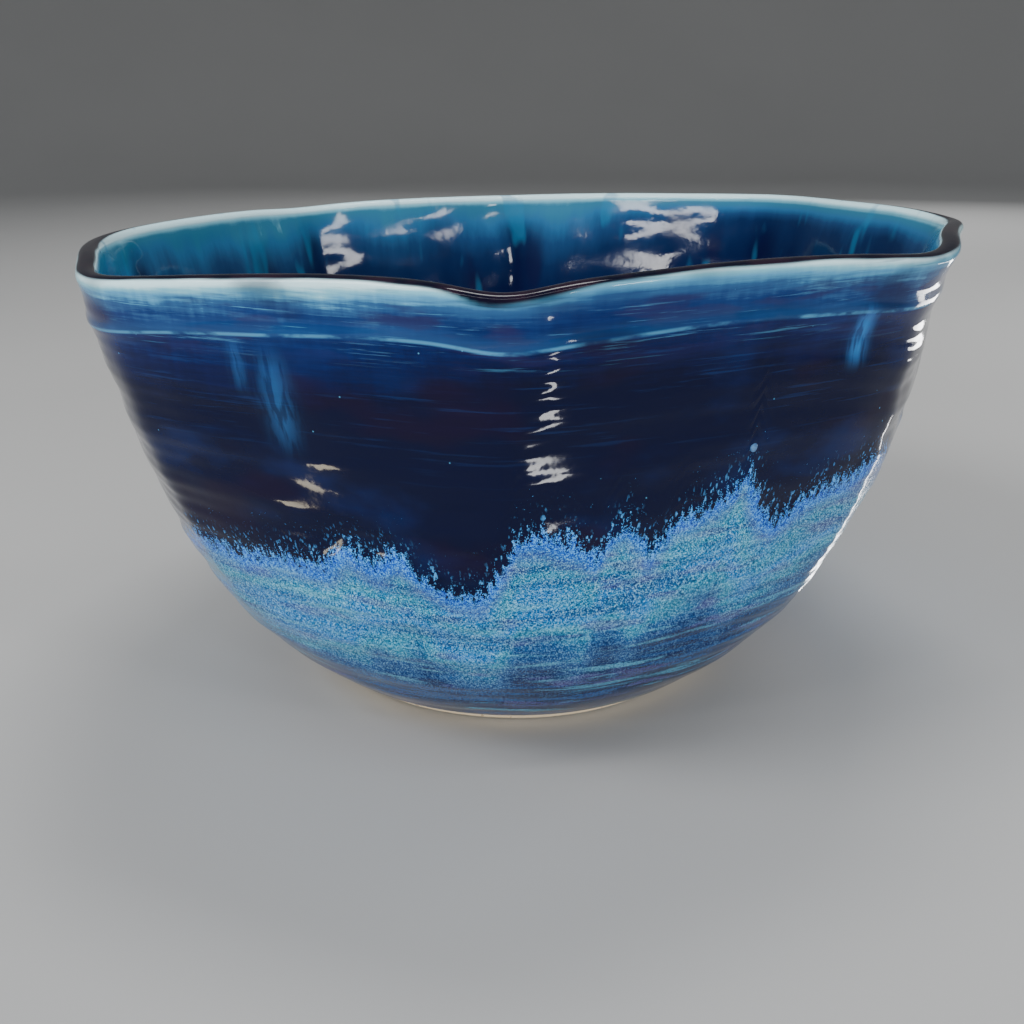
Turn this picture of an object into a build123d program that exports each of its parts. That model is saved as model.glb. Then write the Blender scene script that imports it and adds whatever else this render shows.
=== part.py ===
from build123d import *
import math
import os

# Wheel-thrown stoneware bowl, pressed into a soft octagon while wet and dipped in four glazes.
# Millimetres. +Z up, resting plane at Z = 0, origin under the middle of the bowl's own extent.

# ---- driving dimensions ----
rim_height = 117.0          # resting plane to the top of the lip
foot_height = 5.0           # bare clay below the glaze
foot_outer_radius = 55.5    # where the ring stands
foot_top_radius = 57.5      # where the ring meets the wall
foot_ring_width = 8.0
foot_chamfer = 1.2          # where the sole turns up into the ring's outer face
foot_undercut = 1.5         # how far the ring's inner face leans inward
floor_height = 13.0         # resting plane to the clay inside the bowl
glaze = 0.8                 # thickness of every glaze coat
lip_band = 4.0              # depth of the pale band that wraps the lip
lip_round = 1.9             # rounding of the lip's two edges
rutile_top = 55.0           # level line of the lower glaze, below its drips
foot_centre = (-3.1, -0.1)  # the foot stands a little off the middle of the rim's extent
rim_lean = (1.4, 1.1)       # how far the rim's own centre stands off the foot's, X and Y

# Height, mean radius, how much of the octagon's push has grown in by that height, and how much of the waist.
outer_wall = [
    (foot_height, 60.5, 0.00, 0.0),
    (14.0, 70.2, 0.06, 0.0),
    (29.0, 81.8, 0.18, 0.0),
    (52.0, 92.8, 0.37, 0.0),
    (80.0, 101.2, 0.63, 0.2),
    (102.0, 105.3, 0.85, 1.0),
    (rim_height, 107.8, 1.00, 0.0),
]
inner_wall = [
    (floor_height, 46.0, 0.00, 0.0),
    (20.0, 65.5, 0.09, 0.0),
    (32.0, 76.6, 0.20, 0.0),
    (54.0, 87.2, 0.39, 0.0),
    (80.0, 95.6, 0.63, 0.2),
    (102.0, 100.9, 0.85, 1.0),
    (rim_height, 104.1, 1.00, 0.0),
]

# The eight pressed corners: direction in degrees about Z, and outward push at the rim.
corners = [(-136, 7.0), (-91, 6.5), (-43, 5.5), (-4, 5.0), (40, 6.0), (89, 4.5), (131, 3.5), (176, 1.5)]
corner_spread = 12.5        # degrees from a corner's crest to where its push has mostly faded
outline_points = 48         # points on each spline outline

# Waist: below the lip the wall draws in on one side, which leaves the lip flared there.
waist_direction = -22.0
waist_depth = 2.8
waist_spread = 32.0

beyond = 150.0              # half width of the blocks that part the coats, past the bowl on every side

# Tongues of the lower glaze: direction, width at the line, and how far they reach above it.
drip_tip = 0.25             # width of a tongue's tip as a share of its width at the line
drip_root = 2.0             # how far a tongue starts below the line, so that it joins the rest
drips = [
    (-136, 30, 7), (-107, 22, 11), (-87, 14, 17), (-78, 9, 17), (-67, 20, 18), (-63, 3, 27),
    (-46, 26, 20), (-25, 22, 18), (-2, 26, 21), (25, 30, 14), (48, 24, 19), (71, 18, 24),
    (94, 26, 12), (117, 22, 17), (143, 30, 10), (170, 26, 14),
]


def push_at(angle):
    """Outward push of the pressed corners at the rim, in one direction."""
    total = 0.0
    for direction, amount in corners:
        away = (angle - direction + 180.0) % 360.0 - 180.0
        total += amount * math.exp(-((away / corner_spread) ** 2))
    return total


def waist_at(angle):
    """How far the waist draws the wall in, in one direction."""
    away = (angle - waist_direction + 180.0) % 360.0 - 180.0
    return waist_depth * math.exp(-((away / waist_spread) ** 2))


def outline(height, radius, grown, drawn_in):
    """Points of the wall's closed outline at one height."""
    lean = (height / rim_height) ** 2
    points = []
    for step in range(outline_points):
        angle = 360.0 * step / outline_points
        reach = radius + grown * push_at(angle) - drawn_in * waist_at(angle)
        x = foot_centre[0] + reach * math.cos(math.radians(angle)) + rim_lean[0] * lean
        y = foot_centre[1] + reach * math.sin(math.radians(angle)) + rim_lean[1] * lean
        points.append((x, y))
    return points


def inset(stations, depth, first_height=None, last_height=None):
    """The same wall moved in by a depth measured square to its surface."""
    moved = []
    for index, (height, radius, grown, drawn_in) in enumerate(stations):
        below = stations[max(index - 1, 0)]
        above = stations[min(index + 1, len(stations) - 1)]
        slope = (above[1] - below[1]) / (above[0] - below[0])
        moved.append((height, radius - depth * math.hypot(1.0, slope), grown, drawn_in))
    if first_height is not None:
        moved[0] = (first_height, moved[0][1] + depth, *moved[0][2:])
    if last_height is not None:
        moved[-1] = (last_height, *moved[-1][1:])
    return moved


def wall_solid(stations):
    """Solid bounded by a wall, flat at its two ends."""
    with BuildPart() as solid:
        for station in stations:
            with BuildSketch(Plane.XY.offset(station[0])):
                with BuildLine():
                    Spline(*outline(*station), periodic=True)
                make_face()
        loft()
    return solid.part


def level_slab(bottom, top):
    """Wide flat block between two heights, for parting the coats."""
    with BuildPart() as slab:
        with BuildSketch(Plane.XY.offset(bottom)):
            Rectangle(2 * beyond, 2 * beyond)
        extrude(amount=top - bottom)
    return slab.part


def rounded_lip(solid):
    """The same solid with its top edge rounded."""
    with BuildPart() as rounded:
        add(solid)
        top_edge = rounded.faces().sort_by(Axis.Z)[-1].edges()
        fillet(top_edge, radius=lip_round)
    return rounded.part


glazed_outside = rounded_lip(wall_solid(outer_wall))
clay_outside = wall_solid(inset(outer_wall, glaze, last_height=rim_height - glaze))
clay_inside = wall_solid(inner_wall)
glazed_inside = wall_solid(inset(inner_wall, glaze, first_height=floor_height + glaze))

# Clay: wall and floor, thrown in one piece.
with BuildPart() as clay_body:
    add(clay_outside)
    add(clay_inside, mode=Mode.SUBTRACT)

# Foot: the bare ring that the bowl stands on, trimmed with a slight undercut and a flat sole.
foot_inner_radius = foot_outer_radius - foot_ring_width
foot_section = Plane(origin=(*foot_centre, 0), x_dir=(1, 0, 0), z_dir=(0, -1, 0))
with BuildPart() as foot_ring:
    with BuildSketch(foot_section):
        with BuildLine():
            Polyline(
                (foot_inner_radius, 0),
                (foot_outer_radius - foot_chamfer, 0),
                (foot_outer_radius, foot_chamfer),
                (foot_top_radius, foot_height),
                (foot_inner_radius - foot_undercut, foot_height),
                close=True,
            )
        make_face()
    revolve(axis=Axis((*foot_centre, 0), (0, 0, 1)))

# Every coat at once: the glazed form less the clay.
with BuildPart() as all_coats:
    add(glazed_outside)
    add(glazed_inside, mode=Mode.SUBTRACT)
    add(clay_body.part, mode=Mode.SUBTRACT)

# Shape that holds the lower glaze: everything under its level line, and one tongue for each drip.
with BuildPart() as rutile_region:
    add(level_slab(0, rutile_top))
    for direction, width, reach in drips:
        outward = Plane(
            origin=(*foot_centre, rutile_top),
            x_dir=(-math.sin(math.radians(direction)), math.cos(math.radians(direction)), 0),
            z_dir=(math.cos(math.radians(direction)), math.sin(math.radians(direction)), 0),
        )
        with BuildSketch(outward):
            Polygon(
                (-width / 2, -drip_root),
                (width / 2, -drip_root),
                (drip_tip * width / 2, reach),
                (-drip_tip * width / 2, reach),
                align=None,
            )
        extrude(amount=beyond)

band_bottom = rim_height - lip_band

# Pale thin glaze that wraps the lip, outside and inside.
with BuildPart() as rim_glaze:
    add(all_coats.part)
    add(level_slab(band_bottom, rim_height + 1), mode=Mode.INTERSECT)

with BuildPart() as inside_glaze:
    add(all_coats.part)
    add(level_slab(0, band_bottom), mode=Mode.INTERSECT)
    add(clay_inside, mode=Mode.INTERSECT)

with BuildPart() as outside_coat:
    add(all_coats.part)
    add(level_slab(0, band_bottom), mode=Mode.INTERSECT)
    add(clay_inside, mode=Mode.SUBTRACT)

# Lower outside glaze, light blue, with drips that reach up the wall.
with BuildPart() as rutile_glaze:
    add(outside_coat.part)
    add(rutile_region.part, mode=Mode.INTERSECT)

# Upper outside glaze, dark cobalt blue, cut to the lower glaze's edge.
with BuildPart() as cobalt_glaze:
    add(outside_coat.part)
    add(rutile_region.part, mode=Mode.SUBTRACT)

pieces = {
    "clay_body": clay_body,
    "foot_ring": foot_ring,
    "inside_glaze": inside_glaze,
    "rim_glaze": rim_glaze,
    "cobalt_glaze": cobalt_glaze,
    "rutile_glaze": rutile_glaze,
}

os.makedirs("parts", exist_ok=True)
for name, piece in pieces.items():
    piece.part.label = name
    export_step(piece.part, f"parts/{name}.step")
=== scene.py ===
import math

import bmesh
import bpy
import numpy as np
from mathutils import Matrix, Vector
from mathutils.bvhtree import BVHTree


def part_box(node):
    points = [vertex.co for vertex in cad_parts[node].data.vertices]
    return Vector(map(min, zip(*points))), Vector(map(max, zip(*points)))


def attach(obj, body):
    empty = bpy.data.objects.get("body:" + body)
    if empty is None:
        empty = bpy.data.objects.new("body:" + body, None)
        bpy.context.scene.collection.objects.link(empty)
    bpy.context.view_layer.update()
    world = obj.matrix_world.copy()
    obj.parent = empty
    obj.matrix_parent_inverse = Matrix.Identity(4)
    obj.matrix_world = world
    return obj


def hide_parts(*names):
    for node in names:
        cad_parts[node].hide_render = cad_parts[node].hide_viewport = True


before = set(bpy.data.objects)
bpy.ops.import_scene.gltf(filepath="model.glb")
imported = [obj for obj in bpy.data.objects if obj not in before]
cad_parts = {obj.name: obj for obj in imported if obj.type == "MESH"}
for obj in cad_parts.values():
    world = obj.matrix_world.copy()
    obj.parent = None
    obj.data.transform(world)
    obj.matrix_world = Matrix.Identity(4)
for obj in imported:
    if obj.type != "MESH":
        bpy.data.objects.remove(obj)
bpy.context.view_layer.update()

# A wheel-thrown bowl: every visible piece is swept round the bowl's own axis from the walls that the CAD
# coats hold, then given what the potter's hands, the kiln and running glaze left on it. Metres, Z up.

MM = 0.001
COAT = 0.8 * MM             # thickness of a glaze coat

# ---- places read from the frame ----
foot_low, foot_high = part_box("foot_ring")
rim_low, rim_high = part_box("rim_glaze")
inside_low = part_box("inside_glaze")[0]
FOOT_CENTRE = (foot_low + foot_high) / 2
FOOT_RADIUS = (foot_high.x - foot_low.x) / 2
FOOT_TOP = foot_high.z
RIM_TOP = rim_high.z
BAND_BOTTOM = rim_low.z
FLOOR_TOP = inside_low.z + COAT

# ---- sizes of what the visual model adds ----
COLUMNS = 480               # steps round the bowl
LIP_ROUND = 2.0 * MM        # height of the rounded top of the lip
SHOULDER = RIM_TOP - LIP_ROUND
FLOOR_TURN = FLOOR_TOP + 3.2 * MM                           # where the inner wall turns into the floor
NEAR_AXIS = 0.985           # the last ring of a floor, as a share of the way in to the axis
FEATHER = 9 * MM            # how far the lower glaze's specks reach above its line
CORNERS = (-135, -91, -43, -4, 40, 89, 130, 176)            # pressed corners, degrees
COLLAR = 10.5 * MM          # depth under the lip of the ridge that rings the outside

# How far the lip lies below its nominal height, in mm: it leans back and to the left, dips at the pressed
# corners and swells beside the front one. Each dip is a direction, a depth and a spread in degrees.
LIP_LEVEL = 1.15
LIP_LEAN = (140, 2.0)       # direction of the lean, and how far the lip drops there
LIP_DIPS = (
    (-139, 1.4, 12), (-106, -0.9, 13), (-91, 1.8, 4.8), (-68, -1.1, 16), (-43, 1.1, 8), (-4, 0.9, 9),
    (89, 0.5, 12), (131, 0.9, 9), (178, 0.4, 15),
)

# The lower glaze's upper edge: direction in degrees, height in mm. It ran up in tongues.
GLAZE_LINE = (
    (-179, 50), (-166, 47), (-155, 50), (-143, 55), (-136, 60), (-128, 58), (-121, 60), (-115, 59),
    (-111, 65), (-107, 62), (-104, 66), (-101, 60), (-98, 56), (-94, 57), (-92, 63), (-90, 71),
    (-87, 72), (-85, 70), (-83, 68), (-81, 65), (-79.5, 70), (-78, 72), (-76, 68), (-74.5, 64),
    (-73, 67), (-71.5, 71), (-69, 72), (-66, 75), (-64.2, 77), (-63.5, 82), (-62.8, 77), (-60, 70),
    (-57, 66), (-54, 70), (-51, 72), (-47, 73), (-43, 76), (-38, 75), (-33, 70), (-27, 72),
    (-22, 75), (-17, 70), (-12, 66), (-6, 72), (-2, 76), (3, 73), (8, 66), (15, 63), (21, 68),
    (26, 66), (32, 61), (39, 66), (45, 74), (49, 72), (54, 65), (61, 68), (67, 77), (71, 79),
    (75, 72), (81, 65), (88, 62), (94, 66), (99, 64), (106, 60), (112, 68), (117, 72), (122, 65),
    (130, 58), (138, 61), (144, 64), (150, 60), (157, 57), (163, 63), (169, 69), (174, 62),
)
# Pale runs in the upper glaze: direction, middle height, half width in degrees, half length, strength.
PALE_RUNS = (
    (-52, 102, 1.1, 5, 0.9), (-115, 94, 1.6, 9, 0.35), (-119, 101, 0.8, 5, 0.25), (121, 99, 1.2, 7, 0.5),
    (22, 98, 1.0, 6, 0.5), (158, 96, 1.3, 8, 0.35), (66, 100, 0.9, 5, 0.4),
)
BEAD = (-63.5, 82.5)        # direction and height of the drop at the end of the longest drip
BEAD_RADIUS = 0.80 * MM


# ---- small mathematics ----

def angles():
    """Directions of the columns round the bowl, in radians."""
    return np.linspace(-math.pi, math.pi, COLUMNS, endpoint=False)


def turn_between(a, b):
    """Angle from b to a in degrees, from -180 to 180."""
    return (a - b + 180.0) % 360.0 - 180.0


def smooth(low, high, value):
    """Smooth step from 0 at low to 1 at high."""
    t = np.clip((value - low) / (high - low), 0.0, 1.0)
    return t * t * (3.0 - 2.0 * t)


def waves(points, size, seed, count=16):
    """Smooth seamless noise from about -1 to 1: many plane waves of about one size, in metres."""
    draw = np.random.default_rng(seed)
    total = np.zeros(points.shape[:-1])
    for _ in range(count):
        direction = draw.normal(size=3)
        direction *= 2.0 * math.pi / (size * np.linalg.norm(direction) * draw.uniform(0.7, 1.4))
        total += np.sin(points @ direction + draw.uniform(0.0, 2.0 * math.pi))
    return total / math.sqrt(count / 2.0) / 1.6


# ---- the walls, read from the CAD coats ----

def tree_of(*nodes):
    """Search tree over the triangles of some CAD nodes."""
    points, faces = [], []
    for node in nodes:
        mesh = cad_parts[node].data
        start = len(points)
        points += [v.co.copy() for v in mesh.vertices]
        faces += [[start + i for i in p.vertices] for p in mesh.polygons]
    return BVHTree.FromPolygons(points, faces)


def read_wall(tree, heights, from_inside):
    """Radius of a wall at some heights as smooth curves round the bowl: the mesh's own facets drop out."""
    harmonics = 26
    steps = 240
    table = []
    for height in heights:
        radii = []
        for step in range(steps):
            a = 2.0 * math.pi * step / steps - math.pi
            out = Vector((math.cos(a), math.sin(a), 0.0))
            centre = Vector((FOOT_CENTRE.x, FOOT_CENTRE.y, height))
            start = centre if from_inside else centre + out * 0.2
            hit = tree.ray_cast(start, out if from_inside else -out)[0]
            radii.append((hit - centre).length)
        spectrum = np.fft.rfft(radii)
        spectrum[harmonics:] = 0.0
        table.append(np.fft.irfft(spectrum, steps))
    return np.array(heights), np.array(table)


def cubic_slopes(x, y):
    """Slopes of the natural cubic spline through rows y at heights x."""
    n = len(x)
    h = np.diff(x)
    matrix = np.zeros((n, n))
    right = np.zeros_like(y)
    matrix[0, :2] = (2.0, 1.0)
    matrix[-1, -2:] = (1.0, 2.0)
    right[0] = 3.0 * (y[1] - y[0]) / h[0]
    right[-1] = 3.0 * (y[-1] - y[-2]) / h[-1]
    for i in range(1, n - 1):
        matrix[i, i - 1:i + 2] = (1.0 / h[i - 1], 2.0 / h[i - 1] + 2.0 / h[i], 1.0 / h[i])
        right[i] = 3.0 * ((y[i] - y[i - 1]) / h[i - 1] ** 2 + (y[i + 1] - y[i]) / h[i] ** 2)
    return np.linalg.solve(matrix, right)


class Wall:
    """A wall of the CAD model as a smooth function of direction and height."""

    def __init__(self, tree, heights, from_inside):
        self.heights, table = read_wall(tree, heights, from_inside)
        around = np.linspace(-math.pi, math.pi, table.shape[1] + 1)
        closed = np.concatenate([table, table[:, :1]], axis=1)
        self.table = np.array([np.interp(angles(), around, row) for row in closed])
        self.slopes = cubic_slopes(self.heights, self.table)

    def radius(self, height):
        """Radius at an array of heights, whose last axis is the columns."""
        x = self.heights
        z = np.clip(height, x[0] - 3 * MM, x[-1] + 4 * MM)
        i = np.clip(np.searchsorted(x, z) - 1, 0, len(x) - 2)
        column = np.broadcast_to(np.arange(COLUMNS), z.shape)
        h = x[i + 1] - x[i]
        t = (z - x[i]) / h
        inside = np.clip(t, 0.0, 1.0)
        y0, y1 = self.table[i, column], self.table[i + 1, column]
        s0, s1 = self.slopes[i, column] * h, self.slopes[i + 1, column] * h
        u = inside
        value = (
            (2 * u ** 3 - 3 * u ** 2 + 1) * y0
            + (u ** 3 - 2 * u ** 2 + u) * s0
            + (3 * u ** 2 - 2 * u ** 3) * y1
            + (u ** 3 - u ** 2) * s1
        )
        return value + (t - inside) * np.where(t > 1.0, s1, s0)


outer_wall = Wall(
    tree_of("cobalt_glaze", "rutile_glaze", "rim_glaze"),
    [FOOT_TOP + d * MM for d in (0.4, 3, 7, 12, 18, 26, 36, 48, 62, 78, 88, 97, 104, 109.5)],
    from_inside=False,
)
inner_wall = Wall(
    tree_of("inside_glaze", "rim_glaze"),
    [FLOOR_TOP + d * MM for d in (0.4, 2, 4, 7, 11, 16, 24, 36, 50, 66, 78, 88, 95, 100.5)],
    from_inside=True,
)


# ---- what the hand and the kiln left ----

def round_table(pairs):
    """Values in each direction from (degrees, mm) pairs, joined round the bowl."""
    x = np.array([p[0] for p in pairs], float)
    y = np.array([p[1] for p in pairs], float)
    x = np.concatenate([[x[-1] - 360], x, [x[0] + 360]])
    y = np.concatenate([[y[-1]], y, [y[0]]])
    return np.interp(np.degrees(angles()), x, y) * MM


def droop():
    """How far the lip lies below its nominal height, in each direction."""
    degrees = np.degrees(angles())
    total = LIP_LEVEL + LIP_LEAN[1] * np.cos(np.radians(degrees - LIP_LEAN[0]))
    for direction, depth, spread_out in LIP_DIPS:
        total = total + depth * np.exp(-((turn_between(degrees, direction) / spread_out) ** 2))
    return total * MM


def glaze_line():
    """Height of the lower glaze's upper edge in each direction."""
    return round_table(GLAZE_LINE)


def crease():
    """1 along each pressed corner, 0 between corners."""
    degrees = np.degrees(angles())
    return np.max([np.exp(-((turn_between(degrees, c) / 2.6) ** 2)) for c in CORNERS], axis=0)


def placed(radius, height):
    """Points in the frame from radius and height arrays, whose last axis is the columns."""
    a = angles()
    x = FOOT_CENTRE.x + radius * np.cos(a)
    y = FOOT_CENTRE.y + radius * np.sin(a)
    return np.stack([x, y, np.broadcast_to(height, x.shape)], axis=-1)


def collar_away(down):
    """Height above the collar ridge, which wanders a little; down is measured from the lip."""
    ring = placed(np.full(COLUMNS, 0.11), 0.0)
    return COLLAR + 0.7 * MM * waves(ring, 70 * MM, 81) - down


def ridges(points, height, pitch, seed):
    """Throwing ridges: rings round the bowl that wander, fade and swell."""
    wander = waves(points * (1, 1, 0.4), 90 * MM, seed) * 2.4 * MM
    swell = 0.62 + 0.38 * waves(points, 48 * MM, seed + 1)
    return np.sin(2.0 * math.pi * (height + wander) / pitch) * swell


def outside_relief(radius, height):
    """How far the outer surface stands off the CAD wall, in metres."""
    points = placed(radius, height)
    down = RIM_TOP - height
    clear = smooth(2 * MM, 9 * MM, down) * smooth(0, 7 * MM, height - FOOT_TOP)
    broad = 0.30 * ridges(points, height, 11.5 * MM, 11)
    fine = 0.09 * ridges(points, height, 3.7 * MM, 21)
    soft = 0.32 * waves(points * (1, 1, 1.7), 36 * MM, 31)
    corner = 0.55 * crease() * smooth(8 * MM, 25 * MM, down) * smooth(25 * MM, 55 * MM, height)
    collar = 0.42 * np.exp(-((collar_away(down) / (1.3 * MM)) ** 2))
    above = glaze_line() - height
    runs = 0.32 * smooth(-0.5 * MM, 2.5 * MM, above) - 0.14 * smooth(3 * MM, 12 * MM, above)
    return ((broad + fine + soft + corner) * clear + collar + runs) * MM


def inside_relief(radius, height):
    """How far the inner surface stands in from the CAD wall, in metres."""
    points = placed(radius, height)
    clear = smooth(2 * MM, 9 * MM, RIM_TOP - height)
    broad = 0.07 * ridges(points, height, 10.0 * MM, 41)
    soft = 0.36 * waves(points * (1, 1, 1.2), 34 * MM, 51)
    groove = -0.75 * crease() * smooth(20 * MM, 60 * MM, height)
    return (broad + soft + groove) * clear * MM


# ---- meshes ----

def lathe(name, rows, attributes, sharp=(), closed=True, cap_start=False, cap_end=False):
    """Mesh swept round the bowl: rows of points, each row one ring. Attributes are per point.
    A sharp ring is where a coat's shown face ends, so that it shades on into its neighbour."""
    count = len(rows)
    points = np.concatenate(rows)
    faces = []
    column = np.arange(COLUMNS)
    after = (column + 1) % COLUMNS
    for i in range(count if closed else count - 1):
        j = (i + 1) % count
        a, b = i * COLUMNS, j * COLUMNS
        faces.append(np.stack([a + column, a + after, b + after, b + column], axis=1))
    quads = np.concatenate(faces)
    mesh = bpy.data.meshes.new(name)
    points_list = points.tolist()
    faces_list = quads.tolist()
    values = {key: np.concatenate([np.broadcast_to(v, (COLUMNS,)) for v in value])
              for key, value in attributes.items()}
    for wanted, row in ((cap_start, 0), (cap_end, count - 1)):
        if wanted:
            ring = rows[row]
            points_list.append(ring.mean(axis=0).tolist())
            hub = len(points_list) - 1
            base = row * COLUMNS
            for c in range(COLUMNS):
                edge = [base + c, base + (c + 1) % COLUMNS, hub]
                faces_list.append(edge[::-1] if row == 0 else edge)
            for key in values:
                near = values[key][base:base + COLUMNS].mean()
                values[key] = np.append(values[key], near)
    mesh.from_pydata(points_list, [], faces_list)
    for key, value in values.items():
        layer = mesh.attributes.new(key, "FLOAT", "POINT")
        layer.data.foreach_set("value", np.asarray(value, np.float32))
    mesh.validate()
    mesh.update()
    mesh.polygons.foreach_set("use_smooth", np.ones(len(mesh.polygons), bool))
    ends = np.empty(2 * len(mesh.edges), int)
    mesh.edges.foreach_get("vertices", ends)
    ring = ends.reshape(-1, 2) // COLUMNS
    marked = (ring[:, 0] == ring[:, 1]) & np.isin(ring[:, 0], sharp)
    mesh.attributes.new("sharp_edge", "BOOLEAN", "EDGE").data.foreach_set("value", marked)
    piece = bpy.data.objects.new(name, mesh)
    bpy.context.scene.collection.objects.link(piece)
    return piece


def outer_point(height, sink=0.0):
    """Ring of the outside at heights given per column, pushed in by sink."""
    height = np.broadcast_to(height, (COLUMNS,))
    radius = outer_wall.radius(height)
    radius = radius + outside_relief(radius, height) - sink
    shown = height - droop() * (height / RIM_TOP) ** 3
    return placed(radius, shown)


def inner_point(height, sink=0.0):
    """Ring of the inside at heights given per column, pushed into the wall by sink."""
    height = np.broadcast_to(height, (COLUMNS,))
    radius = inner_wall.radius(height)
    radius = radius - inside_relief(radius, height) + sink
    shown = height - droop() * (height / RIM_TOP) ** 3
    return placed(radius, shown)


def between(low, high, count):
    """Heights from low to high, each of which may vary with direction. The first and last steps are tiny,
    so that a coat's end shades as the whole wall does."""
    low = np.broadcast_to(low, (COLUMNS,))
    high = np.broadcast_to(high, (COLUMNS,))
    steps = np.linspace(0.0, 1.0, count)
    steps = np.concatenate([[0.0, 0.001], steps[1:-1], [0.999, 1.0]])
    return [low + (high - low) * t for t in steps]


def sealed_coat(name, heights, start_round=False):
    """An outer glaze coat as a closed shell: its shown face, and a coarser face against the clay."""
    rows, levels = [], []
    if start_round:
        for sink, lift in ((0.62, 0.02), (0.34, 0.12), (0.1, 0.42)):
            rows.append(outer_point(heights[0] + lift * MM, sink * COAT))
            levels.append(heights[0])
        heights = [heights[0] + 0.95 * MM] + heights[4:]
    first = len(rows)
    rows += [outer_point(h) for h in heights]
    last = len(rows) - 1
    back = heights[::-1][::8] + [heights[0]]
    rows += [outer_point(h, COAT) for h in back]
    levels += heights + back
    line = glaze_line()
    attributes = {
        "edge": [(line - h) / MM for h in levels],
        "down": [(RIM_TOP - h) / MM for h in levels],
        "collar": [collar_away(RIM_TOP - h) / MM for h in levels],
        "whiter": [band_width()] * len(levels),
        "streak": [run_streak(np.asarray(h)) for h in levels],
    }
    return lathe(name, rows, attributes, sharp=(last,) if start_round else (first, last))


def band_width():
    """How much wider the white band under the lip is in each direction, in mm; the blue below follows it."""
    degrees = np.degrees(angles())
    front_left = np.exp(-((turn_between(degrees, -112) / 20.0) ** 4))
    front_right = np.exp(-((turn_between(degrees, -58) / 26.0) ** 4))
    front_corner = np.exp(-((turn_between(degrees, -90) / 11.0) ** 2))
    ring = placed(np.full(COLUMNS, 0.11), 0.0)
    other = 0.4 * waves(ring, 60 * MM, 91) * (1 - front_left)
    return other + 0.15 * front_left - 1.15 * front_right - 1.3 * front_corner


def run_streak(height):
    """How strongly the pale runs that stand out in the upper glaze show at one height, from 0 to 1."""
    degrees = np.degrees(angles())
    total = np.zeros(COLUMNS)
    for direction, middle, width, length, strength in PALE_RUNS:
        across = turn_between(degrees, direction) / width
        along = (height / MM - middle) / length
        total = total + strength * np.exp(-(across ** 2) - along ** 4)
    return total


foot_line = FOOT_TOP + 0.25 * MM * waves(placed(np.full(COLUMNS, 0.06), 0.0), 30 * MM, 61)
seam = glaze_line() + FEATHER
rutile = sealed_coat("rutile_coat", between(foot_line, seam, 120), start_round=True)
cobalt = sealed_coat("cobalt_coat", between(seam, BAND_BOTTOM, 76))


def dark_top(side):
    """1 where the lip is coloured dark along its top; side runs from 0 outside to 1 inside, and below
    0 down the outside. Toward the back the dark band is narrower and the pale inner colour comes right over
    the top."""
    behind = smooth(-0.30, 0.25, np.sin(angles()))
    front_corner = np.exp(-((turn_between(np.degrees(angles()), -90) / 7.0) ** 2))
    wander = 0.03 * waves(placed(np.full(COLUMNS, 0.11), 0.0), 16 * MM, 95)
    inner_end = 0.90 - 0.36 * behind + wander
    outer_end = 0.11 + 0.11 * behind - 0.13 * front_corner + wander
    return smooth(outer_end - 0.05, outer_end + 0.05, side) * smooth(inner_end + 0.05, inner_end - 0.05, side)


def painted_shade_side():
    """1 at the back right of the inside, where painted shade darkens the glaze nearer the lip; 0 elsewhere.
    """
    return np.exp(-((turn_between(np.degrees(angles()), 28) / 34.0) ** 4))


def lip_coat():
    """The glaze over the lip: from the band's lower edge outside, over the top, to its edge inside."""
    sides = between(BAND_BOTTOM, SHOULDER, 8)
    rows = [outer_point(h) for h in sides]
    down = [(RIM_TOP - h) / MM for h in sides]
    side = [0.0] * len(rows)
    outer_ring = outer_point(SHOULDER)
    inner_ring = inner_point(SHOULDER)
    for t in np.linspace(0.0, 1.0, 27)[1:-1]:
        across = 0.5 - 0.5 * math.cos(math.pi * t)
        lift = (1.0 - abs(2.0 * across - 1.0) ** 2.4) ** (1 / 2.1)
        ring = outer_ring * (1.0 - across) + inner_ring * across
        ring[:, 2] += LIP_ROUND * lift
        rows.append(ring)
        down.append(LIP_ROUND / MM * (1.0 - lift))
        side.append(across)
    rows += [inner_point(h) for h in sides[::-1]]
    down += [(RIM_TOP - h) / MM for h in sides[::-1]]
    side += [1.0] * len(sides)
    last = len(rows) - 1
    for point, height, at in (
        (inner_point, BAND_BOTTOM, 1.0), (inner_point, SHOULDER, 1.0),
        (outer_point, SHOULDER, 0.0), (outer_point, BAND_BOTTOM, 0.0),
    ):
        rows.append(point(height, COAT))
        down.append((RIM_TOP - height) / MM)
        side.append(at)
    outer_side = [at if at > 0.0 else 0.15 * (LIP_ROUND / MM - np.asarray(d)) for at, d in zip(side, down)]
    attributes = {
        "down": down,
        "side": side,
        "collar": [collar_away(np.asarray(d) * MM) / MM for d in down],
        "whiter": [band_width()] * len(rows),
        "streak": [run_streak(RIM_TOP - np.asarray(d) * MM) for d in down],
        "fold_shade": [crease()] * len(rows),
        "deeper": [painted_shade_side()] * len(rows),
        "dark_top": [dark_top(at) for at in outer_side],
    }
    return lathe("lip_coat", rows, attributes, sharp=(0, last))


lip = lip_coat()


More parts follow.
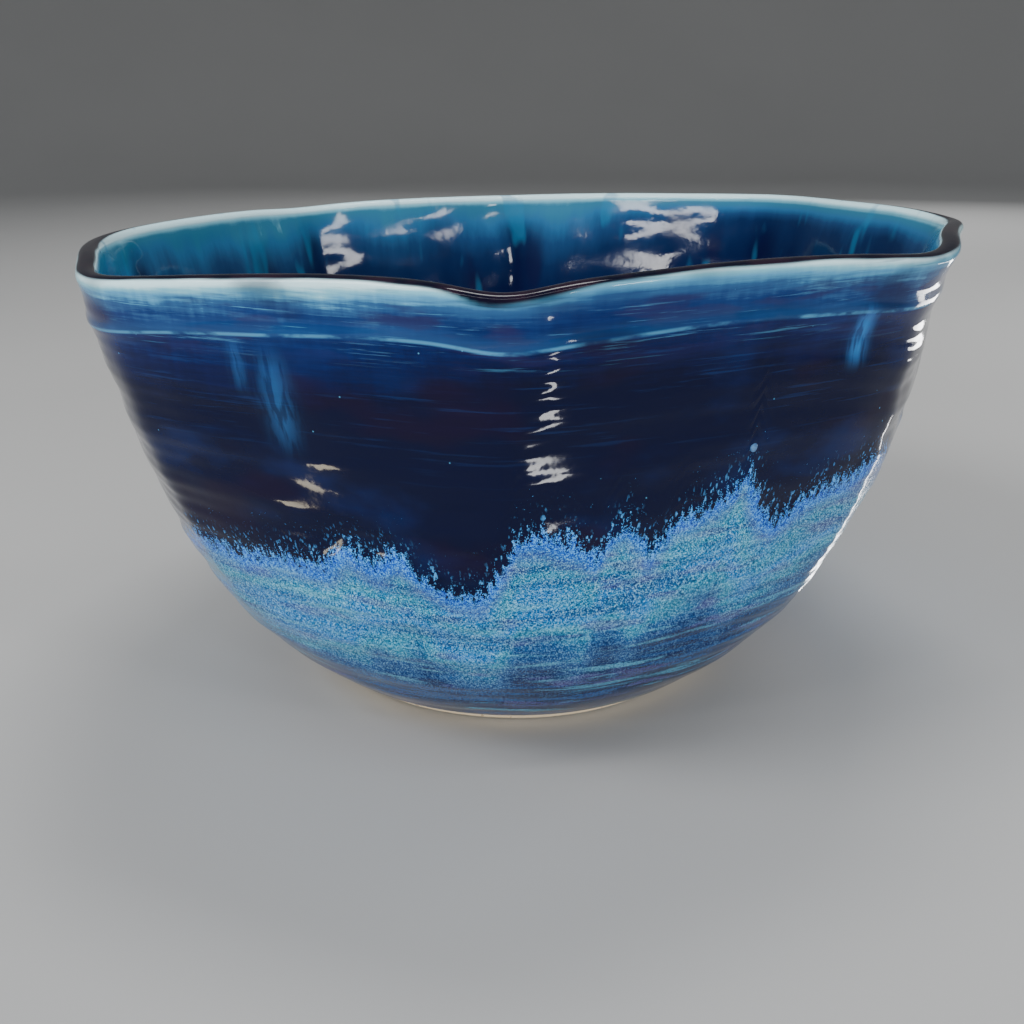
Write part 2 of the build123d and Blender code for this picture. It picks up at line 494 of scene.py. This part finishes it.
def inside_coat():
    """The inner coat: its underside from the axis out, up to the lip band, and its shown face back again."""
    shown = [inner_point(h) for h in between(FLOOR_TURN, BAND_BOTTOM, 120)][::-1]
    edge_ring = shown[-1]
    centre = np.array([FOOT_CENTRE.x, FOOT_CENTRE.y, FLOOR_TOP])
    for t in np.linspace(0.0, NEAR_AXIS, 60)[1:]:
        ring = edge_ring + (centre - edge_ring) * t
        sag = (1.0 - t) ** 5
        reach = np.linalg.norm((ring - centre)[:, :2], axis=1)
        swirl = 0.09 * np.sin(2 * math.pi * (reach / (7.5 * MM)) + angles()) * smooth(0, 8 * MM, reach)
        swirl += 0.35 * waves(ring, 30 * MM, 101) * smooth(0, 10 * MM, reach)
        knob = 0.9 * np.exp(-((reach / (7.0 * MM)) ** 2))
        ring[:, 2] = centre[2] + (edge_ring[:, 2] - centre[2]) * sag + (swirl * (1 - sag) + knob) * MM
        shown.append(ring)
    under = []
    for ring in shown[::-1][::9] + [shown[0]]:
        out = ring - centre
        wall = smooth(FLOOR_TOP, FLOOR_TURN, ring[:, 2])[:, None]
        flat = out / np.maximum(np.linalg.norm(out[:, :2], axis=1), 1e-6)[:, None]
        flat[:, 2] = 0.0
        under.append(ring + flat * COAT * wall - np.array([0, 0, COAT]) * (1.0 - wall))
    rows = under + shown
    down = [(RIM_TOP - ring[:, 2] - droop() * (ring[:, 2] / RIM_TOP) ** 3) / MM for ring in rows]
    attributes = {"down": down, "fold_shade": [crease()] * len(rows), "deeper": [painted_shade_side()] * len(rows)}
    return lathe("inside_coat", rows, attributes, (len(under),), closed=False, cap_start=True, cap_end=True)


inside = inside_coat()


# Clay: the thrown wall under the coats, closed, with its bare underside inside the foot ring.
def clay_rows():
    """Rings of the clay from the middle of its underside round the wall to the middle of its floor."""
    rows = []
    centre = np.array([FOOT_CENTRE.x, FOOT_CENTRE.y, FOOT_TOP])
    start = outer_point(foot_line, COAT)
    for t in np.linspace(1.0 - NEAR_AXIS, 1.0, 40)[:-1]:
        ring = centre + (start - centre) * t
        reach = np.linalg.norm((ring - centre)[:, :2], axis=1)
        turned = 0.12 * np.sin(2 * math.pi * reach / (3.1 * MM) + angles())
        hollow = 0.6 * smooth(0.0, 30 * MM, 50 * MM - reach)
        ring[:, 2] = FOOT_TOP + (turned + hollow) * MM * smooth(0.0, 6 * MM, 50 * MM - reach)
        rows.append(ring)
    rows += [outer_point(h, COAT) for h in between(foot_line, SHOULDER, 26)]
    rows += [inner_point(h, COAT) for h in between(SHOULDER, FLOOR_TURN, 26)]
    edge = rows[-1]
    floor = np.array([FOOT_CENTRE.x, FOOT_CENTRE.y, FLOOR_TOP - COAT])
    for t in np.linspace(0.0, NEAR_AXIS, 16)[1:]:
        ring = edge + (floor - edge) * t
        ring[:, 2] = floor[2] + (edge[:, 2] - floor[2]) * (1.0 - t) ** 5
        rows.append(ring)
    return rows


clay = lathe("clay_wall", clay_rows(), {}, closed=False, cap_start=True, cap_end=True)


# Foot: a bare ring with softened edges and the fine grooves of the trimming tool.
def foot_rows():
    """Rings of the foot round its section: sole, outer face, top and undercut inner face."""
    width, soft, flare, undercut = 8.0 * MM, 1.1 * MM, 2.0 * MM, 1.2 * MM
    out_low = FOOT_RADIUS - flare
    inner = out_low - width
    sole = [
        (inner + 0.4 * MM, soft), (inner + soft, 0.15 * MM), (inner + 2 * soft, 0.0),
        (out_low - 2.2 * soft, 0.0), (out_low - soft, 0.25 * MM), (out_low, soft),
    ]
    rows = []
    for (r0, z0), (r1, z1) in zip(sole, sole[1:]):
        rows += [(r0 + (r1 - r0) * t, z0 + (z1 - z0) * t) for t in np.linspace(0, 1, 4)[:-1]]
    for t in np.linspace(0.0, 1.0, 22):
        groove = 0.06 * MM * math.sin(2 * math.pi * t * 5.5)
        rows.append((out_low + (FOOT_RADIUS - out_low) * t ** 1.3 + groove, soft + (FOOT_TOP - soft) * t))
    rows.append((inner - undercut, FOOT_TOP))
    rows += [(inner - undercut * (1 - t), FOOT_TOP * (1 - t) + soft * t) for t in np.linspace(0, 1, 8)[1:-1]]
    wobble = 0.25 * MM * waves(placed(np.full(COLUMNS, 0.06), 0.0), 45 * MM, 71)
    return [placed(np.full(COLUMNS, r) + wobble * (z > 0), np.full(COLUMNS, z)) for r, z in rows]


foot = lathe("foot", foot_rows(), {})


def drop_mesh(name, direction, height, radius):
    """The round drop of glaze that a long drip ends in, half sunk in the wall."""
    column = int(np.argmin(np.abs(turn_between(np.degrees(angles()), direction))))
    ring = outer_point(height * MM)
    centre = Vector(ring[column])
    out = Vector((math.cos(math.radians(direction)), math.sin(math.radians(direction)), -0.15)).normalized()
    mesh = bpy.data.meshes.new(name)
    build = bmesh.new()
    bmesh.ops.create_icosphere(build, subdivisions=4, radius=radius)
    for v in build.verts:
        v.co.z *= 1.12 if v.co.z > 0 else 1.35
        flat = v.co.dot(out)
        v.co -= out * flat * 0.42
        v.co += centre
    build.to_mesh(mesh)
    build.free()
    mesh.polygons.foreach_set("use_smooth", np.ones(len(mesh.polygons), bool))
    piece = bpy.data.objects.new(name, mesh)
    bpy.context.scene.collection.objects.link(piece)
    return piece


bead = drop_mesh("drip_bead", BEAD[0], BEAD[1], BEAD_RADIUS)


# ---- materials ----

def srgb(red, green, blue):
    """Linear colour from 0 to 255 values as the eye reads them."""
    def one(v):
        v /= 255.0
        return v / 12.92 if v <= 0.04045 else ((v + 0.055) / 1.055) ** 2.4
    return (one(red), one(green), one(blue), 1.0)


class Nodes:
    """Short ways to make and join shader nodes in one material."""

    def __init__(self, name):
        self.material = bpy.data.materials.new(name)
        self.material.use_nodes = True
        self.tree = self.material.node_tree
        self.tree.nodes.clear()
        self.shader = self.make("ShaderNodeBsdfPrincipled")
        output = self.make("ShaderNodeOutputMaterial")
        self.tree.links.new(self.shader.outputs["BSDF"], output.inputs["Surface"])
        self.place = self.make("ShaderNodeTexCoord").outputs["Object"]

    def make(self, kind, **settings):
        node = self.tree.nodes.new(kind)
        for key, value in settings.items():
            setattr(node, key, value)
        return node

    def put(self, socket, value):
        """Links a socket or sets a plain value."""
        if isinstance(value, bpy.types.NodeSocket):
            self.tree.links.new(value, socket)
        else:
            socket.default_value = value

    def attribute(self, name):
        return self.make("ShaderNodeAttribute", attribute_name=name).outputs["Fac"]

    def math(self, operation, a, b=0.0, c=0.0):
        node = self.make("ShaderNodeMath", operation=operation)
        for socket, value in zip(node.inputs, (a, b, c)):
            self.put(socket, value)
        return node.outputs[0]

    def noise(self, size, stretch=(1.0, 1.0, 1.0), detail=3.0, rough=0.5, shift=0.0):
        """Noise from about 0.2 to 0.8, with features of a size in metres, stretched along X, Y, Z."""
        mapping = self.make("ShaderNodeMapping")
        self.put(mapping.inputs["Vector"], self.place)
        mapping.inputs["Scale"].default_value = [1.0 / (size * s) for s in stretch]
        mapping.inputs["Location"].default_value = (shift, shift * 0.7, shift * 1.3)
        node = self.make("ShaderNodeTexNoise")
        self.put(node.inputs["Vector"], mapping.outputs[0])
        node.inputs["Scale"].default_value = 1.0
        node.inputs["Detail"].default_value = detail
        node.inputs["Roughness"].default_value = rough
        return node.outputs["Fac"]

    def grains(self, size, stretch=(1.0, 1.0, 1.0)):
        """Random value of each small cell."""
        mapping = self.make("ShaderNodeMapping")
        self.put(mapping.inputs["Vector"], self.place)
        mapping.inputs["Scale"].default_value = [1.0 / (size * s) for s in stretch]
        node = self.make("ShaderNodeTexVoronoi")
        self.put(node.inputs["Vector"], mapping.outputs[0])
        node.inputs["Scale"].default_value = 1.0
        parts = self.make("ShaderNodeSeparateColor")
        self.put(parts.inputs[0], node.outputs["Color"])
        return parts.outputs[0]

    def cell_distance(self, size):
        """Distance to the middle of the nearest of the cells that grains of the same size has."""
        mapping = self.make("ShaderNodeMapping")
        self.put(mapping.inputs["Vector"], self.place)
        mapping.inputs["Scale"].default_value = [1.0 / size] * 3
        node = self.make("ShaderNodeTexVoronoi")
        self.put(node.inputs["Vector"], mapping.outputs[0])
        node.inputs["Scale"].default_value = 1.0
        return node.outputs["Distance"]

    def step(self, value, low, high, to_low=0.0, to_high=1.0):
        node = self.make("ShaderNodeMapRange", interpolation_type="SMOOTHSTEP")
        for socket, v in zip(node.inputs, (value, low, high, to_low, to_high)):
            self.put(socket, v)
        return node.outputs[0]

    def mix(self, factor, a, b, blend="MIX"):
        node = self.make("ShaderNodeMix", data_type="RGBA", blend_type=blend)
        self.put(node.inputs[0], factor)
        self.put(node.inputs[6], a)
        self.put(node.inputs[7], b)
        return node.outputs[2]

    def ramp(self, value, stops):
        """Colour along a value: stops are (value, colour) pairs in rising order."""
        low, high = stops[0][0], stops[-1][0]
        node = self.make("ShaderNodeValToRGB")
        self.put(node.inputs[0], self.step_linear(value, low, high))
        band = node.color_ramp
        while len(band.elements) < len(stops):
            band.elements.new(0.5)
        for element, (at, colour) in zip(band.elements, stops):
            element.position = (at - low) / (high - low)
            element.color = colour
        return node.outputs["Color"]

    def step_linear(self, value, low, high):
        node = self.make("ShaderNodeMapRange")
        for socket, v in zip(node.inputs, (value, low, high, 0.0, 1.0)):
            self.put(socket, v)
        return node.outputs[0]

    def bump(self, height, strength, distance, below=None):
        node = self.make("ShaderNodeBump")
        node.inputs["Strength"].default_value = strength
        node.inputs["Distance"].default_value = distance
        self.put(node.inputs["Height"], height)
        if below is not None:
            self.put(node.inputs["Normal"], below)
        return node.outputs[0]

    def finish(self, colour, roughness, normal=None, **fixed):
        self.put(self.shader.inputs["Base Color"], colour)
        self.put(self.shader.inputs["Roughness"], roughness)
        if normal is not None:
            self.put(self.shader.inputs["Normal"], normal)
        for name, value in fixed.items():
            self.shader.inputs[name.replace("_", " ")].default_value = value
        return self.material


GLOSS = 0.20                # strength of a glaze's mirror reflection; 0.5 is window glass
WHITE = srgb(206, 242, 250)
PALE = srgb(128, 196, 216)
ICE = srgb(84, 154, 194)
SKY = srgb(44, 90, 136)
MID = srgb(20, 52, 106)
BLUE = srgb(8, 34, 90)
DEEP = srgb(3, 17, 66)
NAVY = srgb(1, 7, 42)
PLUM = srgb(24, 8, 34)
AZURE = srgb(8, 74, 190)
CORNFLOWER = srgb(86, 172, 246)
RUTILE = srgb(22, 120, 200)
TURQUOISE = srgb(28, 140, 178)
SEA = srgb(8, 80, 144)
INK = srgb(4, 34, 88)
MAUVE = srgb(92, 84, 150)
CLAY = srgb(230, 214, 184)


def spread(n, value, noise, amount):
    """A value that noise moves up and down by half an amount."""
    return n.math("ADD", value, n.math("MULTIPLY", n.math("SUBTRACT", noise, 0.5), amount))


def upper_colour(n):
    """Colour of the upper outside glaze: a white band under the lip, streaky blue down to the collar, then
    navy with faint clouds."""
    down = n.attribute("down")
    rivulet = n.noise(1.6 * MM, (1, 1, 14), detail=3.0)
    wide = n.noise(16 * MM, (1, 1, 1.6), detail=2.0, shift=3.0)
    brush = n.noise(16 * MM, (1, 1, 0.06), detail=5.0, rough=0.65, shift=5.0)
    stir = spread(n, spread(n, spread(n, 0.0, rivulet, 4.0), wide, 10.0), brush, 14.0)
    moved = n.math("ADD", down, n.math("MULTIPLY", stir, n.step(down, 1.0, 8.0, 0.05, 1.0)))
    whiter = n.math("MULTIPLY", n.attribute("whiter"), n.step(down, 0.0, 12.0, 1.0, 4.0))
    moved = n.math("SUBTRACT", moved, whiter)
    colour = n.ramp(moved, [
        (0.0, WHITE), (1.5, WHITE), (2.3, PALE), (3.3, ICE), (4.8, SKY), (7.6, MID), (11.0, BLUE),
        (16.0, DEEP), (23.0, NAVY), (60.0, NAVY),
    ])
    wisps = n.step(n.noise(18 * MM, (1, 1, 0.030), detail=5.0, rough=0.65, shift=8.0), 0.58, 0.70)
    near_lip = n.math("MULTIPLY", n.step(down, 17.0, 8.0), n.step(down, 2.5, 5.0))
    colour = n.mix(n.math("MULTIPLY", n.math("MULTIPLY", wisps, near_lip), 0.7), colour, ICE)
    smoke = n.step(n.noise(15 * MM, (1, 1, 0.22), detail=3.0, shift=19.0), 0.50, 0.64)
    colour = n.mix(n.math("MULTIPLY", n.math("MULTIPLY", smoke, near_lip), 0.55), colour, srgb(40, 34, 78))
    collar = n.attribute("collar")
    broken = n.step(n.noise(12 * MM, (1, 1, 0.4), detail=4.0, rough=0.6, shift=15.0), 0.40, 0.56)
    line = n.math("MULTIPLY", n.step(n.math("ABSOLUTE", collar), 0.50, 0.10), broken)
    glow = n.math("MULTIPLY", n.step(collar, 4.0, 0.2), n.step(collar, -0.6, 0.1))
    colour = n.mix(n.math("MULTIPLY", glow, 0.40), colour, SKY)
    colour = n.mix(n.math("MULTIPLY", line, 0.65), colour, ICE)
    cloud = n.step(n.noise(22 * MM, (1.4, 1.4, 0.7), detail=4.0, shift=9.0), 0.50, 0.68)
    colour = n.mix(n.math("MULTIPLY", cloud, 0.45), colour, BLUE)
    plum = n.step(n.noise(24 * MM, (1, 1, 0.5), detail=2.0, shift=14.0), 0.54, 0.70)
    colour = n.mix(n.math("MULTIPLY", plum, 0.45), colour, PLUM)
    rings = n.step(n.noise(22 * MM, (1, 1, 0.04), detail=4.0, rough=0.6, shift=12.0), 0.57, 0.70)
    colour = n.mix(n.math("MULTIPLY", n.math("MULTIPLY", rings, n.step(down, 44.0, 16.0)), 0.40), colour, MID)
    run = n.math("MULTIPLY", n.attribute("streak"), n.step(rivulet, 0.40, 0.56, 0.35, 1.0))
    colour = n.mix(n.math("MULTIPLY", run, 0.7), colour, srgb(60, 142, 222))
    pins = n.step(n.grains(1.5 * MM), 0.985, 0.99)
    pin_core = n.step(n.cell_distance(1.5 * MM), 0.14, 0.07)
    return n.mix(n.math("MULTIPLY", n.math("MULTIPLY", pins, pin_core), 0.8), colour, ICE)


def lower_colour(n):
    """Colour of the lower outside glaze: flames of bright specks over the deep blue, then a fine
    mottle of light blue and turquoise in soft bands, darker toward the foot."""
    edge = n.attribute("edge")
    tooth = n.noise(1.1 * MM, (1, 1, 6.0), detail=4.0, rough=0.62)
    shore = n.noise(14 * MM, (1, 1, 0.5), detail=3.0, shift=2.0)
    grain = n.noise(0.24 * MM, (1, 1, 1.2), detail=1.0, rough=0.6)
    coarse = n.noise(0.60 * MM, (1, 1, 1.3), detail=2.0, rough=0.7, shift=4.0)
    speck = n.math("ADD", n.math("MULTIPLY", grain, 0.62), n.math("MULTIPLY", coarse, 0.38))

    banded = spread(n, edge, n.noise(26 * MM, (1, 1, 0.40), detail=3.0, shift=7.0), 26.0)
    body = n.ramp(banded, [
        (0.0, AZURE), (4.0, RUTILE), (11.0, TURQUOISE), (19.0, RUTILE), (25.0, TURQUOISE), (31.0, SEA),
        (40.0, INK), (56.0, DEEP),
    ])
    stripe = n.noise(30 * MM, (1, 1, 0.08), detail=4.0, rough=0.6, shift=11.0)
    body = n.mix(n.step(stripe, 0.50, 0.62, 0.0, 0.75), body, SEA)
    body = n.mix(n.step(stripe, 0.46, 0.34, 0.0, 0.55), body, srgb(96, 184, 218))
    blush = n.step(n.noise(17 * MM, (1, 1, 0.25), detail=2.0, shift=17.0), 0.56, 0.68)
    body = n.mix(n.math("MULTIPLY", blush, 0.5), body, MAUVE)
    dark = n.mix(0.80, body, DEEP)
    light = n.mix(n.step(banded, 42.0, 20.0, 0.16, 0.60), body, srgb(170, 230, 250))
    body = n.mix(n.step(speck, 0.40, 0.51), dark, body)
    body = n.mix(n.step(speck, 0.51, 0.62), body, light)

    cover = n.step(spread(n, edge, shore, 7.0), 3.0, 7.5)
    # Painted shade: a faint mauve band just under the thick edge of the lower glaze.
    tint = n.math("MULTIPLY", n.step(spread(n, edge, shore, 7.0), 10.5, 6.5), cover)
    body = n.mix(n.math("MULTIPLY", tint, 0.28), body, MAUVE)

    depth = spread(n, edge, tooth, 16.0)
    flame = n.math("ADD", n.step(depth, -2.5, 6.0, -0.17, 0.17), speck)
    flame = n.step(flame, 0.50, 0.57)
    flame_colour = n.mix(n.step(speck, 0.48, 0.60), AZURE, CORNFLOWER)
    colour = n.mix(flame, upper_colour(n), flame_colour)
    colour = n.mix(cover, colour, body)

    drop = n.step(n.grains(0.36 * MM, (1, 1, 2.4)), 0.84, 0.92)
    near = n.math("MULTIPLY", n.step(edge, -6.0, 1.0), n.step(edge, 7.0, 3.0))
    near = n.math("MULTIPLY", near, n.step(tooth, 0.44, 0.58))
    return n.mix(n.math("MULTIPLY", n.math("MULTIPLY", drop, near), 0.9), colour, CORNFLOWER)


def gloss_bump(n, strength=0.25):
    """The faint orange peel and pinholes of a glossy glaze."""
    peel = n.noise(3.2 * MM, detail=2.0, shift=4.0)
    return n.bump(peel, strength, 0.15 * MM)


def cobalt_material():
    n = Nodes("cobalt_glaze")
    rough = n.step(n.noise(8 * MM), 0.3, 0.7, 0.05, 0.10)
    return n.finish(upper_colour(n), rough, gloss_bump(n), Specular_IOR_Level=GLOSS)


def rutile_material():
    n = Nodes("rutile_glaze")
    edge = n.attribute("edge")
    grain = n.noise(0.42 * MM, (1, 1, 1.3), detail=2.0, rough=0.7)
    rough = n.math("ADD", n.step(edge, -2.0, 6.0, 0.07, 0.13), n.step(grain, 0.5, 0.7, 0.0, 0.10))
    normal = n.bump(grain, 0.10, 0.06 * MM, gloss_bump(n))
    return n.finish(lower_colour(n), rough, normal, Specular_IOR_Level=GLOSS)


def lip_material():
    """Thin glaze over the lip: pale where it breaks at both edges, dark along the top."""
    n = Nodes("rim_glaze")
    side = n.attribute("side")
    colour = n.mix(n.step(side, 0.4, 0.6), upper_colour(n), inner_colour(n))
    dark = n.mix(n.step(n.noise(7 * MM, detail=3.0), 0.4, 0.65), srgb(7, 9, 30), srgb(34, 20, 36))
    colour = n.mix(n.attribute("dark_top"), colour, dark)
    return n.finish(colour, 0.07, gloss_bump(n, 0.15), Specular_IOR_Level=GLOSS)


def inner_colour(n):
    """Colour of the inner glaze: white at the lip, teal, then navy, with painted shade as darker streaks in
    the folds and at the back right.
    """
    down = n.attribute("down")
    rivulet = n.noise(3.0 * MM, (1, 1, 14), detail=3.0)
    wide = n.noise(24 * MM, (1, 1, 3.0), detail=2.0, shift=6.0)
    stir = spread(n, spread(n, 0.0, rivulet, 7.0), wide, 30.0)
    # Painted shade: the back right of the inside turns dark nearer the lip.
    stir = n.math("ADD", stir, n.math("MULTIPLY", n.attribute("deeper"), 14.0))
    moved = n.math("ADD", down, n.math("MULTIPLY", stir, n.step(down, 2.0, 9.0, 0.03, 1.0)))
    colour = n.ramp(moved, [
        (0.0, WHITE), (1.2, WHITE), (2.0, PALE), (3.0, srgb(52, 116, 146)), (8.0, srgb(46, 104, 150)),
        (15.0, srgb(30, 66, 110)), (23.0, srgb(18, 40, 80)), (36.0, srgb(8, 22, 62)), (60.0, NAVY),
        (104.0, srgb(4, 16, 58)),
    ])
    plum = n.step(n.noise(15 * MM, (1, 1, 5.0), detail=2.0, shift=14.0), 0.54, 0.66)
    deeper = n.math("MULTIPLY", plum, n.step(down, 7.0, 20.0, 0.0, 0.7))
    colour = n.mix(deeper, colour, srgb(20, 18, 56))
    # Painted shade: the inner glaze is darkened along the pressed folds.
    fold_shade = n.math("MULTIPLY", n.attribute("fold_shade"), n.step(down, 5.0, 14.0, 0.0, 0.75))
    colour = n.mix(fold_shade, colour, srgb(8, 10, 50))
    pale = n.step(n.noise(9 * MM, (1, 1, 8.0), detail=2.0, shift=21.0), 0.60, 0.70)
    pale = n.math("MULTIPLY", pale, n.step(down, 50.0, 25.0))
    return n.mix(n.math("MULTIPLY", pale, 0.45), colour, srgb(34, 124, 168))


def inside_material():
    n = Nodes("inside_glaze")
    rough = n.step(n.noise(8 * MM), 0.3, 0.7, 0.05, 0.11)
    return n.finish(inner_colour(n), rough, gloss_bump(n), Specular_IOR_Level=GLOSS)


def clay_material():
    n = Nodes("clay")
    speck = n.step(n.grains(0.8 * MM), 0.93, 0.97)
    colour = n.mix(n.noise(6 * MM, (1, 1, 0.3)), CLAY, srgb(206, 188, 158))
    colour = n.mix(n.math("MULTIPLY", speck, 0.6), colour, srgb(140, 110, 78))
    grit = n.noise(0.7 * MM, detail=4.0)
    rings = n.noise(1.6 * MM, (30, 30, 0.5), detail=1.0)
    normal = n.bump(rings, 0.5, 0.2 * MM, n.bump(grit, 0.45, 0.12 * MM))
    return n.finish(colour, 0.82, normal)


def bead_material():
    n = Nodes("glaze_drop")
    colour = n.mix(n.noise(0.9 * MM), srgb(30, 62, 118), srgb(104, 150, 196))
    return n.finish(colour, 0.05, gloss_bump(n, 0.1), Specular_IOR_Level=GLOSS)


clay_look = clay_material()
for piece, look, slot, nodes in (
    (rutile, rutile_material(), "rutile_glaze", ["rutile_glaze"]),
    (cobalt, cobalt_material(), "cobalt_glaze", ["cobalt_glaze"]),
    (lip, lip_material(), "rim_glaze", ["rim_glaze"]),
    (inside, inside_material(), "inside_glaze", ["inside_glaze"]),
    (clay, clay_look, "clay", ["clay_body"]),
    (foot, clay_look, "clay", ["foot_ring"]),
    (bead, bead_material(), "rutile_glaze", []),
):
    piece.data.materials.append(look)
    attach(piece, "root")
    if nodes:
        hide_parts(*nodes)


# ---- stage, light and camera ----

def studio_floor():
    """Pale round floor that curves up into a backdrop far from the bowl on every side."""
    mesh = bpy.data.meshes.new("studio_floor")
    far, bend, rise, segments = 3.2, 1.2, 2.4, 128
    profile = [(far - bend, 0.0)]
    for step in range(1, 17):
        a = 0.5 * math.pi * step / 16
        profile.append((far - bend + bend * math.sin(a), bend - bend * math.cos(a)))
    profile.append((far, rise))
    turns = [2.0 * math.pi * i / segments for i in range(segments)]
    points = [(r * math.cos(t), r * math.sin(t), z) for r, z in profile for t in turns]
    faces = [tuple(range(segments))]
    for ring in range(len(profile) - 1):
        for i in range(segments):
            low, after = ring * segments, (i + 1) % segments
            faces.append((low + i, low + segments + i, low + segments + after, low + after))
    mesh.from_pydata(points, [], faces)
    mesh.polygons.foreach_set("use_smooth", np.ones(len(mesh.polygons), bool))
    floor = bpy.data.objects.new("studio_floor", mesh)
    bpy.context.scene.collection.objects.link(floor)
    n = Nodes("studio_floor")
    tint = n.mix(n.noise(0.4, detail=2.0), (0.42, 0.42, 0.415, 1.0), (0.46, 0.46, 0.455, 1.0))
    mesh.materials.append(n.finish(tint, 0.75))


def soft_light(name, place, aim, width, height, power, colour=(1.0, 1.0, 1.0)):
    """Rectangular soft light at a place, pointing at aim."""
    light = bpy.data.lights.new(name, "AREA")
    light.shape = "RECTANGLE"
    light.size, light.size_y = width, height
    light.energy = power
    light.color = colour
    holder = bpy.data.objects.new(name, light)
    holder.location = place
    holder.rotation_euler = (Vector(aim) - Vector(place)).to_track_quat("-Z", "Y").to_euler()
    holder.visible_camera = False
    bpy.context.scene.collection.objects.link(holder)
    return holder


studio_floor()
middle = (0.0, 0.0, 0.07)
front_fill = soft_light("front_fill", (-0.25, -1.5, 0.42), middle, 1.2, 0.55, 17.0)
soft_light("key", (-1.0, -0.5, 1.1), middle, 0.5, 0.5, 12.0)
soft_light("window_left", (-0.66, -0.60, 0.485), middle, 0.12, 0.06, 0.85)
soft_light("window_right", (0.68, -0.66, 0.50), middle, 0.14, 0.10, 1.4)
soft_light("window_front", (0.40, -0.84, 0.47), middle, 0.08, 0.06, 0.5)
soft_light("over_strip", (0.05, -0.55, 1.25), middle, 0.9, 0.05, 2.0)
side_strip = soft_light("side_strip", (0.75, 0.35, 0.25), middle, 0.06, 0.5, 2.0)
soft_light("top", (0.1, 0.3, 1.4), middle, 0.5, 0.3, 7.0)
back_fill = soft_light("back_fill", (0.5, 1.3, 0.55), middle, 0.9, 0.4, 6.0)
# The broad lights would show as blank patches in the gloss, so they only light the glaze.
for broad in (front_fill, side_strip, back_fill):
    broad.visible_glossy = False

# Small lights low round the bowl, which glint along its ridges; they light the bowl alone.
WARM = (1.0, 0.88, 0.62)
bowl = bpy.data.collections.new("bowl")
for piece in (rutile, cobalt, lip, inside, clay, foot, bead):
    bowl.objects.link(piece)
low_lights = (
    soft_light("low_front", (0.048, -0.186, 0.012), (0.0, -0.1, 0.09), 0.007, 0.03, 0.022),
    soft_light("low_left", (-0.110, -0.120, 0.014), (-0.04, -0.09, 0.075), 0.013, 0.010, 0.007, WARM),
    soft_light("low_right", (0.34, 0.12, 0.035), (0.09, -0.03, 0.07), 0.20, 0.03, 0.30),
    soft_light("low_strip", (0.150, 0.034, 0.006), (0.150, 0.034, 0.1), 0.15, 0.008, 0.05),
)
low_lights[-1].rotation_euler = (math.pi, 0.0, math.radians(27.6))      # faces up, turned along the wall
for holder in low_lights:
    holder.light_linking.receiver_collection = bowl

world = bpy.data.worlds.new("studio")
bpy.context.scene.world = world
world.use_nodes = True
world.node_tree.nodes["Background"].inputs["Color"].default_value = (0.80, 0.85, 0.92, 1.0)
world.node_tree.nodes["Background"].inputs["Strength"].default_value = 0.18

CAMERA_PLACE = (-0.0010, -0.2794, 0.1436)                   # from the middle of the foot, on the floor
CAMERA_DOWN, CAMERA_ROLL = 21.26, -0.64                     # degrees
camera_data = bpy.data.cameras.new("camera")
camera_data.sensor_width = 36.0
camera_data.lens = 36.56
camera = bpy.data.objects.new("camera", camera_data)
bpy.context.scene.collection.objects.link(camera)
camera.matrix_world = (
    Matrix.Translation((FOOT_CENTRE.x + CAMERA_PLACE[0], FOOT_CENTRE.y + CAMERA_PLACE[1], CAMERA_PLACE[2]))
    @ Matrix.Rotation(math.radians(90.0 - CAMERA_DOWN), 4, "X")
    @ Matrix.Rotation(math.radians(CAMERA_ROLL), 4, "Z")
)
bpy.context.scene.camera = camera
